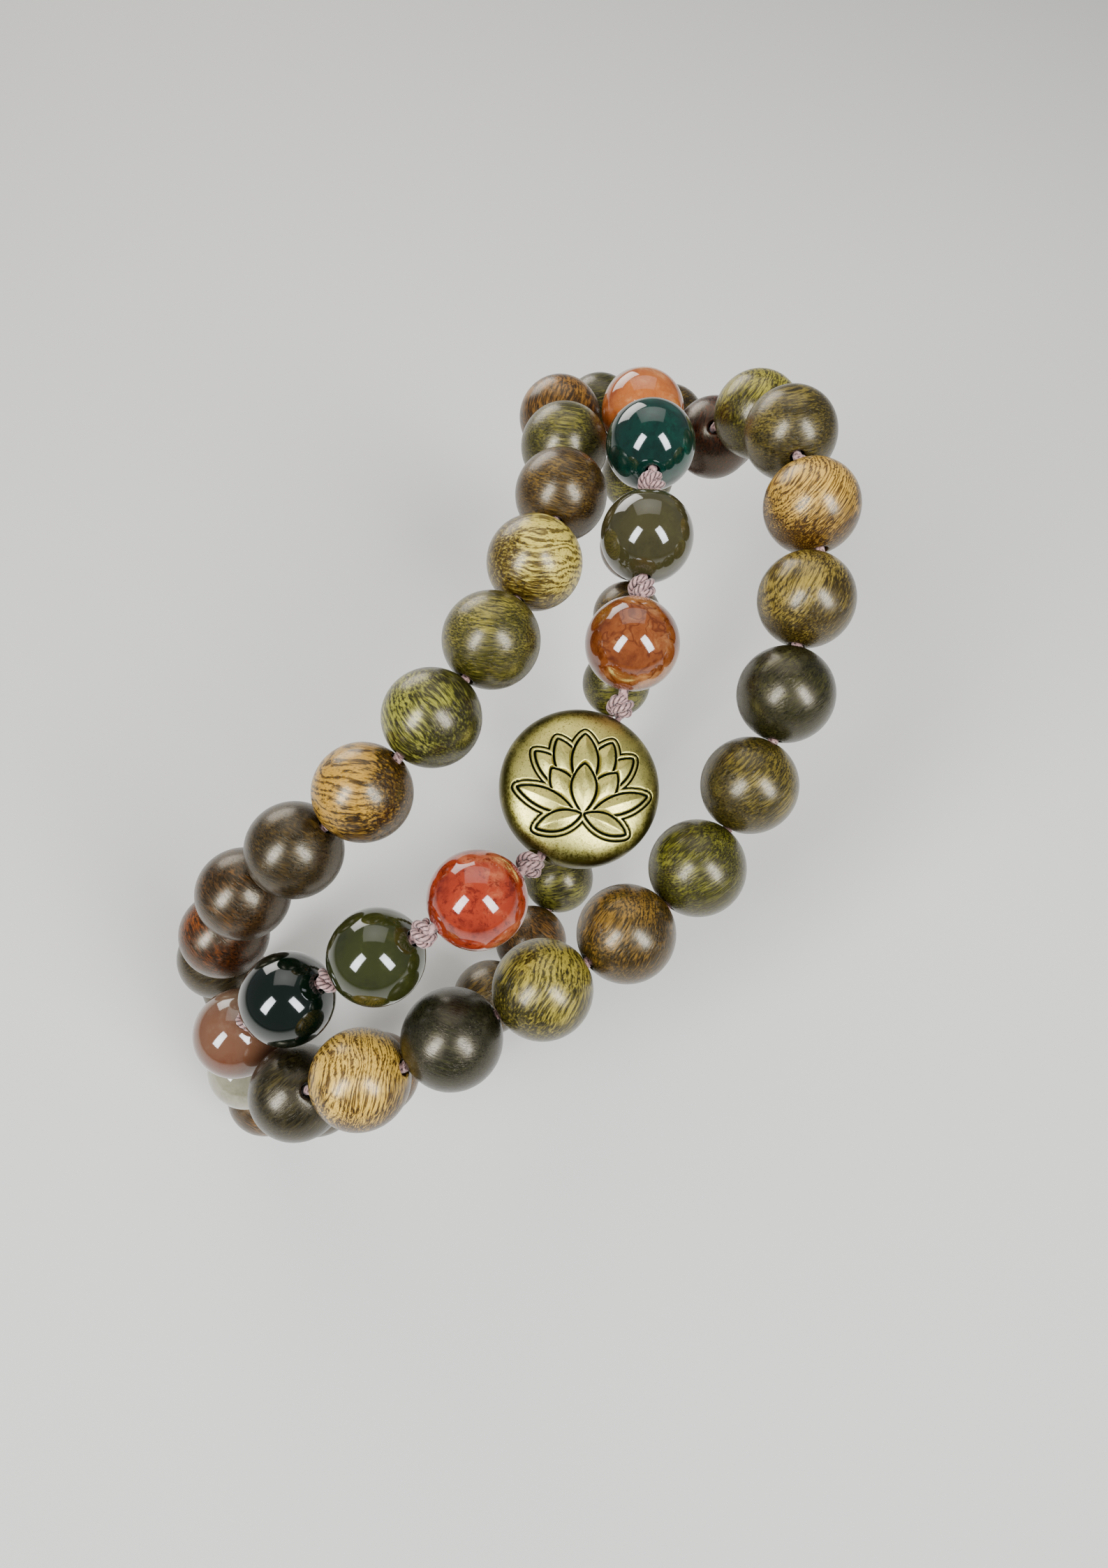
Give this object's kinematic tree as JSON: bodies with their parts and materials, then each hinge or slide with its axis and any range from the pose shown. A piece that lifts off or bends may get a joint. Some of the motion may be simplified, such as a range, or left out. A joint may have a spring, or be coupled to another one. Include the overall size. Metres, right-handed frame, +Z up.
{
  "type": "mala prayer beads",
  "caption": "Closed string of turned wood beads and polished stone beads parted by knots, with an engraved lotus disc, draped in a double loop.",
  "frame": {"origin": "crown of the support that the string hangs over, directly under the middle of the lotus disc", "axes": "+Z up; +Y the way the two loops run, from the near, lower bend to the far, upper one; +X to the viewer's right"},
  "size_m": [0.0665, 0.0837, 0.0585],
  "materials": {
    "wood": "satin, oiled, fine straight grain",
    "stone_coral": "polished, mottled",
    "stone_olive": "polished",
    "stone_bottle_green": "polished",
    "stone_mauve": "polished",
    "stone_cream": "polished, veined",
    "stone_tan": "polished",
    "stone_peach": "polished",
    "stone_teal": "polished, mottled",
    "stone_olive_brown": "polished, translucent",
    "stone_red_brown": "polished, banded",
    "brass": "antique, satin, dark in the engraving",
    "thread": "twisted, matte"
  },
  "bodies": {
    "cord": {"cord": "thread"},
    "lotus_disc": {"lotus_disc": "brass"},
    "stone_bead_coral": {"stone_bead_coral": "stone_coral"},
    "stone_bead_olive": {"stone_bead_olive": "stone_olive"},
    "stone_bead_bottle_green": {"stone_bead_bottle_green": "stone_bottle_green"},
    "stone_bead_mauve": {"stone_bead_mauve": "stone_mauve"},
    "stone_bead_cream": {"stone_bead_cream": "stone_cream"},
    "wood_bead_01": {"wood_bead_01": "wood"},
    "wood_bead_02": {"wood_bead_02": "wood"},
    "wood_bead_03": {"wood_bead_03": "wood"},
    "wood_bead_04": {"wood_bead_04": "wood"},
    "wood_bead_05": {"wood_bead_05": "wood"},
    "wood_bead_06": {"wood_bead_06": "wood"},
    "wood_bead_07": {"wood_bead_07": "wood"},
    "wood_bead_08": {"wood_bead_08": "wood"},
    "wood_bead_09": {"wood_bead_09": "wood"},
    "wood_bead_10": {"wood_bead_10": "wood"},
    "wood_bead_11": {"wood_bead_11": "wood"},
    "wood_bead_12": {"wood_bead_12": "wood"},
    "wood_bead_13": {"wood_bead_13": "wood"},
    "wood_bead_14": {"wood_bead_14": "wood"},
    "wood_bead_15": {"wood_bead_15": "wood"},
    "wood_bead_16": {"wood_bead_16": "wood"},
    "wood_bead_17": {"wood_bead_17": "wood"},
    "wood_bead_18": {"wood_bead_18": "wood"},
    "wood_bead_19": {"wood_bead_19": "wood"},
    "wood_bead_20": {"wood_bead_20": "wood"},
    "wood_bead_21": {"wood_bead_21": "wood"},
    "wood_bead_22": {"wood_bead_22": "wood"},
    "wood_bead_23": {"wood_bead_23": "wood"},
    "wood_bead_24": {"wood_bead_24": "wood"},
    "wood_bead_25": {"wood_bead_25": "wood"},
    "wood_bead_26": {"wood_bead_26": "wood"},
    "wood_bead_27": {"wood_bead_27": "wood"},
    "wood_bead_28": {"wood_bead_28": "wood"},
    "wood_bead_29": {"wood_bead_29": "wood"},
    "wood_bead_30": {"wood_bead_30": "wood"},
    "wood_bead_31": {"wood_bead_31": "wood"},
    "wood_bead_32": {"wood_bead_32": "wood"},
    "wood_bead_33": {"wood_bead_33": "wood"},
    "wood_bead_34": {"wood_bead_34": "wood"},
    "wood_bead_35": {"wood_bead_35": "wood"},
    "wood_bead_36": {"wood_bead_36": "wood"},
    "wood_bead_37": {"wood_bead_37": "wood"},
    "wood_bead_38": {"wood_bead_38": "wood"},
    "wood_bead_39": {"wood_bead_39": "wood"},
    "wood_bead_40": {"wood_bead_40": "wood"},
    "wood_bead_41": {"wood_bead_41": "wood"},
    "wood_bead_42": {"wood_bead_42": "wood"},
    "wood_bead_43": {"wood_bead_43": "wood"},
    "wood_bead_44": {"wood_bead_44": "wood"},
    "stone_bead_tan": {"stone_bead_tan": "stone_tan"},
    "stone_bead_peach": {"stone_bead_peach": "stone_peach"},
    "stone_bead_teal": {"stone_bead_teal": "stone_teal"},
    "stone_bead_olive_brown": {"stone_bead_olive_brown": "stone_olive_brown"},
    "stone_bead_red_brown": {"stone_bead_red_brown": "stone_red_brown"}
  },
  "joints": [
    {"name": "lotus_disc_spin", "type": "hinge", "parent": "cord", "child": "lotus_disc", "pos_m": [0, 0, 0.00602], "axis": [-0.4837, -0.8605, -0.16], "continuous": true},
    {"name": "stone_bead_coral_spin", "type": "hinge", "parent": "cord", "child": "stone_bead_coral", "pos_m": [-0.00814, -0.01012, 0.00649], "axis": [-0.8216, -0.5699, -0.0151], "continuous": true},
    {"name": "stone_bead_olive_spin", "type": "hinge", "parent": "cord", "child": "stone_bead_olive", "pos_m": [-0.01641, -0.0135, 0.00258], "axis": [-0.8147, -0.2005, -0.5441], "continuous": true},
    {"name": "stone_bead_bottle_green_spin", "type": "hinge", "parent": "cord", "child": "stone_bead_bottle_green", "pos_m": [-0.02451, -0.01553, -0.00245], "axis": [-0.801, -0.1778, -0.5717], "continuous": true},
    {"name": "stone_bead_mauve_spin", "type": "hinge", "parent": "cord", "child": "stone_bead_mauve", "pos_m": [-0.03059, -0.01655, -0.01001], "axis": [-0.3762, -0.0402, -0.9257], "continuous": true},
    {"name": "stone_bead_cream_spin", "type": "hinge", "parent": "cord", "child": "stone_bead_cream", "pos_m": [-0.0321, -0.01756, -0.01959], "axis": [0.0151, -0.2091, -0.9778], "continuous": true},
    {"name": "wood_bead_01_spin", "type": "hinge", "parent": "cord", "child": "wood_bead_01", "pos_m": [-0.03265, -0.01849, -0.02928], "axis": [-0.182, 0.1799, -0.9667], "continuous": true},
    {"name": "wood_bead_02_spin", "type": "hinge", "parent": "cord", "child": "wood_bead_02", "pos_m": [-0.03567, -0.01292, -0.03464], "axis": [-0.4198, 0.8867, -0.1937], "continuous": true},
    {"name": "wood_bead_03_spin", "type": "hinge", "parent": "cord", "child": "wood_bead_03", "pos_m": [-0.03864, -0.00545, -0.03254], "axis": [-0.1936, 0.7155, 0.6713], "continuous": true},
    {"name": "wood_bead_04_spin", "type": "hinge", "parent": "cord", "child": "wood_bead_04", "pos_m": [-0.03862, -0.00301, -0.02461], "axis": [0.1814, -0.2747, 0.9443], "continuous": true},
    {"name": "wood_bead_05_spin", "type": "hinge", "parent": "cord", "child": "wood_bead_05", "pos_m": [-0.03619, -0.00697, -0.01774], "axis": [0.3841, -0.4584, 0.8015], "continuous": true},
    {"name": "wood_bead_06_spin", "type": "hinge", "parent": "cord", "child": "wood_bead_06", "pos_m": [-0.03334, -0.00721, -0.00995], "axis": [0.2767, 0.2555, 0.9264], "continuous": true},
    {"name": "wood_bead_07_spin", "type": "hinge", "parent": "cord", "child": "wood_bead_07", "pos_m": [-0.02966, -0.00604, -0.0026], "axis": [0.5957, 0.0835, 0.7988], "continuous": true},
    {"name": "wood_bead_08_spin", "type": "hinge", "parent": "cord", "child": "wood_bead_08", "pos_m": [-0.02397, -0.0044, 0.00323], "axis": [0.7511, 0.2692, 0.6028], "continuous": true},
    {"name": "wood_bead_09_spin", "type": "hinge", "parent": "cord", "child": "wood_bead_09", "pos_m": [-0.01774, -0.00127, 0.00773], "axis": [0.7273, 0.5127, 0.4563], "continuous": true},
    {"name": "wood_bead_10_spin", "type": "hinge", "parent": "cord", "child": "wood_bead_10", "pos_m": [-0.01212, 0.00418, 0.01048], "axis": [0.622, 0.754, 0.2111], "continuous": true},
    {"name": "wood_bead_11_spin", "type": "hinge", "parent": "cord", "child": "wood_bead_11", "pos_m": [-0.00737, 0.01079, 0.01209], "axis": [0.504, 0.8471, 0.1685], "continuous": true},
    {"name": "wood_bead_12_spin", "type": "hinge", "parent": "cord", "child": "wood_bead_12", "pos_m": [-0.0038, 0.01821, 0.01315], "axis": [0.3763, 0.9208, 0.1025], "continuous": true},
    {"name": "wood_bead_13_spin", "type": "hinge", "parent": "cord", "child": "wood_bead_13", "pos_m": [-0.00149, 0.02618, 0.01303], "axis": [0.1378, 0.9758, -0.1698], "continuous": true},
    {"name": "wood_bead_14_spin", "type": "hinge", "parent": "cord", "child": "wood_bead_14", "pos_m": [-0.00113, 0.03425, 0.01112], "axis": [-0.0084, 0.9717, -0.236], "continuous": true},
    {"name": "wood_bead_15_spin", "type": "hinge", "parent": "cord", "child": "wood_bead_15", "pos_m": [-0.00151, 0.04188, 0.00788], "axis": [-0.1232, 0.795, -0.594], "continuous": true},
    {"name": "wood_bead_16_spin", "type": "hinge", "parent": "cord", "child": "wood_bead_16", "pos_m": [-0.00149, 0.04819, 0.00248], "axis": [0.1863, 0.7661, -0.6151], "continuous": true},
    {"name": "wood_bead_17_spin", "type": "hinge", "parent": "cord", "child": "wood_bead_17", "pos_m": [0.00317, 0.05373, -0.00157], "axis": [0.8578, 0.3772, -0.3491], "continuous": true},
    {"name": "wood_bead_18_spin", "type": "hinge", "parent": "cord", "child": "wood_bead_18", "pos_m": [0.01135, 0.05353, -0.00297], "axis": [0.93, -0.3503, 0.1111], "continuous": true},
    {"name": "wood_bead_19_spin", "type": "hinge", "parent": "cord", "child": "wood_bead_19", "pos_m": [0.01661, 0.04792, 0.00016], "axis": [-0.0136, -0.8754, 0.4832], "continuous": true},
    {"name": "wood_bead_20_spin", "type": "hinge", "parent": "cord", "child": "wood_bead_20", "pos_m": [0.01453, 0.04178, 0.00534], "axis": [-0.1214, -0.5375, 0.8345], "continuous": true},
    {"name": "wood_bead_21_spin", "type": "hinge", "parent": "cord", "child": "wood_bead_21", "pos_m": [0.01751, 0.03771, 0.01194], "axis": [0.5134, -0.5275, 0.6769], "continuous": true},
    {"name": "wood_bead_22_spin", "type": "hinge", "parent": "cord", "child": "wood_bead_22", "pos_m": [0.01905, 0.03066, 0.01603], "axis": [0.002, -0.9758, 0.2186], "continuous": true},
    {"name": "wood_bead_23_spin", "type": "hinge", "parent": "cord", "child": "wood_bead_23", "pos_m": [0.02006, 0.02244, 0.01552], "axis": [0.1304, -0.9421, -0.3089], "continuous": true},
    {"name": "wood_bead_24_spin", "type": "hinge", "parent": "cord", "child": "wood_bead_24", "pos_m": [0.01934, 0.01473, 0.01253], "axis": [-0.2292, -0.8858, -0.4034], "continuous": true},
    {"name": "wood_bead_25_spin", "type": "hinge", "parent": "cord", "child": "wood_bead_25", "pos_m": [0.01752, 0.00744, 0.00899], "axis": [-0.2536, -0.8633, -0.4363], "continuous": true},
    {"name": "wood_bead_26_spin", "type": "hinge", "parent": "cord", "child": "wood_bead_26", "pos_m": [0.01447, 0.00071, 0.00522], "axis": [-0.4474, -0.7528, -0.4828], "continuous": true},
    {"name": "wood_bead_27_spin", "type": "hinge", "parent": "cord", "child": "wood_bead_27", "pos_m": [0.01003, -0.00552, 0.002], "axis": [-0.6369, -0.7256, -0.2606], "continuous": true},
    {"name": "wood_bead_28_spin", "type": "hinge", "parent": "cord", "child": "wood_bead_28", "pos_m": [0.00388, -0.01101, 0.00103], "axis": [-0.8038, -0.5948, 0.0088], "continuous": true},
    {"name": "wood_bead_29_spin", "type": "hinge", "parent": "cord", "child": "wood_bead_29", "pos_m": [-0.00304, -0.01557, 0.0005], "axis": [-0.8693, -0.476, -0.1331], "continuous": true},
    {"name": "wood_bead_30_spin", "type": "hinge", "parent": "cord", "child": "wood_bead_30", "pos_m": [-0.01035, -0.01929, -0.00074], "axis": [-0.8785, -0.4488, -0.1635], "continuous": true},
    {"name": "wood_bead_31_spin", "type": "hinge", "parent": "cord", "child": "wood_bead_31", "pos_m": [-0.01788, -0.02203, -0.00292], "axis": [-0.9185, -0.1556, -0.3634], "continuous": true},
    {"name": "wood_bead_32_spin", "type": "hinge", "parent": "cord", "child": "wood_bead_32", "pos_m": [-0.02421, -0.02204, -0.0083], "axis": [-0.4538, 0.1212, -0.8828], "continuous": true},
    {"name": "wood_bead_33_spin", "type": "hinge", "parent": "cord", "child": "wood_bead_33", "pos_m": [-0.02444, -0.02042, -0.01643], "axis": [0.3676, 0.2647, -0.8915], "continuous": true},
    {"name": "wood_bead_34_spin", "type": "hinge", "parent": "cord", "child": "wood_bead_34", "pos_m": [-0.01992, -0.01752, -0.02276], "axis": [0.6671, 0.385, -0.6378], "continuous": true},
    {"name": "wood_bead_35_spin", "type": "hinge", "parent": "cord", "child": "wood_bead_35", "pos_m": [-0.01451, -0.01351, -0.02761], "axis": [0.6286, 0.6061, -0.4872], "continuous": true},
    {"name": "wood_bead_36_spin", "type": "hinge", "parent": "cord", "child": "wood_bead_36", "pos_m": [-0.00937, -0.00756, -0.03028], "axis": [0.5965, 0.7838, -0.1729], "continuous": true},
    {"name": "wood_bead_37_spin", "type": "hinge", "parent": "cord", "child": "wood_bead_37", "pos_m": [-0.00483, -0.00066, -0.0311], "axis": [0.4795, 0.8775, -0.008], "continuous": true},
    {"name": "wood_bead_38_spin", "type": "hinge", "parent": "cord", "child": "wood_bead_38", "pos_m": [-0.00158, 0.00692, -0.03018], "axis": [0.3055, 0.9269, 0.2181], "continuous": true},
    {"name": "wood_bead_39_spin", "type": "hinge", "parent": "cord", "child": "wood_bead_39", "pos_m": [0.001, 0.01453, -0.02809], "axis": [0.3131, 0.9047, 0.2889], "continuous": true},
    {"name": "wood_bead_40_spin", "type": "hinge", "parent": "cord", "child": "wood_bead_40", "pos_m": [0.00349, 0.02193, -0.02528], "axis": [0.2908, 0.8761, 0.3846], "continuous": true},
    {"name": "wood_bead_41_spin", "type": "hinge", "parent": "cord", "child": "wood_bead_41", "pos_m": [0.00551, 0.02908, -0.02158], "axis": [0.1878, 0.8394, 0.51], "continuous": true},
    {"name": "wood_bead_42_spin", "type": "hinge", "parent": "cord", "child": "wood_bead_42", "pos_m": [0.00678, 0.0359, -0.01702], "axis": [0.124, 0.808, 0.5759], "continuous": true},
    {"name": "wood_bead_43_spin", "type": "hinge", "parent": "cord", "child": "wood_bead_43", "pos_m": [0.00752, 0.04211, -0.01156], "axis": [0.044, 0.665, 0.7456], "continuous": true},
    {"name": "wood_bead_44_spin", "type": "hinge", "parent": "cord", "child": "wood_bead_44", "pos_m": [0.00752, 0.04619, -0.00434], "axis": [-0.0351, 0.2992, 0.9535], "continuous": true},
    {"name": "stone_bead_tan_spin", "type": "hinge", "parent": "cord", "child": "stone_bead_tan", "pos_m": [0.00703, 0.0462, 0.0054], "axis": [-0.0717, -0.4602, 0.8849], "continuous": true},
    {"name": "stone_bead_peach_spin", "type": "hinge", "parent": "cord", "child": "stone_bead_peach", "pos_m": [0.00652, 0.03863, 0.01153], "axis": [-0.0117, -0.873, 0.4876], "continuous": true},
    {"name": "stone_bead_teal_spin", "type": "hinge", "parent": "cord", "child": "stone_bead_teal", "pos_m": [0.00653, 0.02974, 0.01553], "axis": [-0.0157, -0.9879, 0.1545], "continuous": true},
    {"name": "stone_bead_olive_brown_spin", "type": "hinge", "parent": "cord", "child": "stone_bead_olive_brown", "pos_m": [0.00587, 0.02008, 0.01434], "axis": [-0.1081, -0.9696, -0.2194], "continuous": true},
    {"name": "stone_bead_red_brown_spin", "type": "hinge", "parent": "cord", "child": "stone_bead_red_brown", "pos_m": [0.00447, 0.01087, 0.01148], "axis": [-0.1754, -0.8396, -0.514], "continuous": true}
  ]
}
